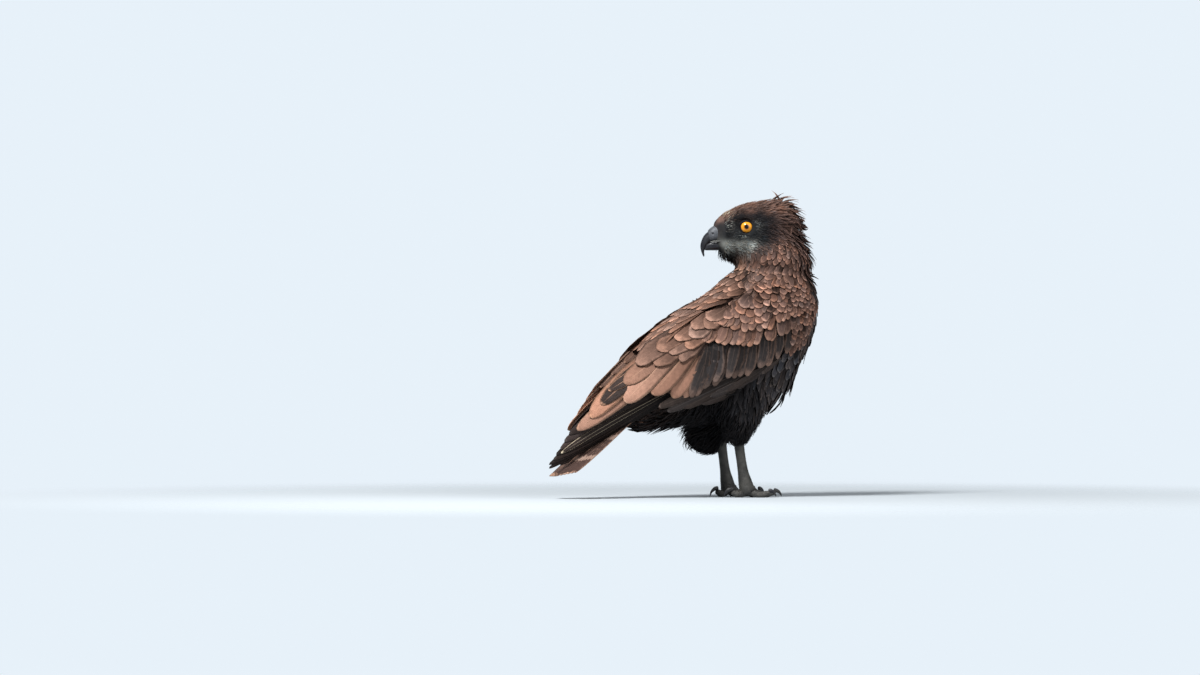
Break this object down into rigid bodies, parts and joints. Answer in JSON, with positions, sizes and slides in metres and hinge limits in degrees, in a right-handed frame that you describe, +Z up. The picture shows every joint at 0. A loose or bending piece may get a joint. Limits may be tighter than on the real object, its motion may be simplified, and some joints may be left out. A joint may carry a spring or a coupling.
{
  "type": "brown snake eagle",
  "caption": "Life-size still eagle, a standing brown snake eagle with folded wings, its head turned back over its left shoulder.",
  "frame": {"origin": "on the floor, at the middle of the bird's bounding box seen from above", "axes": "+X towards the breast, +Y to the bird's left, +Z up"},
  "size_m": [0.462, 0.1791, 0.467],
  "materials": {
    "plumage": "matte brown contour feathers",
    "flight_feathers": "smooth dark brown vanes",
    "tail_feathers": "dark brown vanes with paler bars",
    "bare_skin": "scaly grey skin",
    "cere": "smooth grey skin",
    "horn": "black keratin, satin",
    "eye": "orange-yellow iris under a clear cornea"
  },
  "bodies": {
    "root": {"bill_lower": "horn", "bill_upper": "horn", "cere": "cere", "claw_left_hallux": "horn", "claw_left_inner": "horn", "claw_left_middle": "horn", "claw_left_outer": "horn", "claw_right_hallux": "horn", "claw_right_inner": "horn", "claw_right_middle": "horn", "claw_right_outer": "horn", "eye_left": "eye", "eye_right": "eye", "foot_left": "bare_skin", "foot_right": "bare_skin", "head": "plumage", "neck": "plumage", "primaries_left": "flight_feathers", "primaries_right": "flight_feathers", "secondaries_left": "flight_feathers", "secondaries_right": "flight_feathers", "shank_left": "bare_skin", "shank_right": "bare_skin", "tail": "tail_feathers", "thigh_left": "plumage", "thigh_right": "plumage", "trunk": "plumage", "wing_left": "plumage", "wing_right": "plumage"}
  },
  "joints": []
}
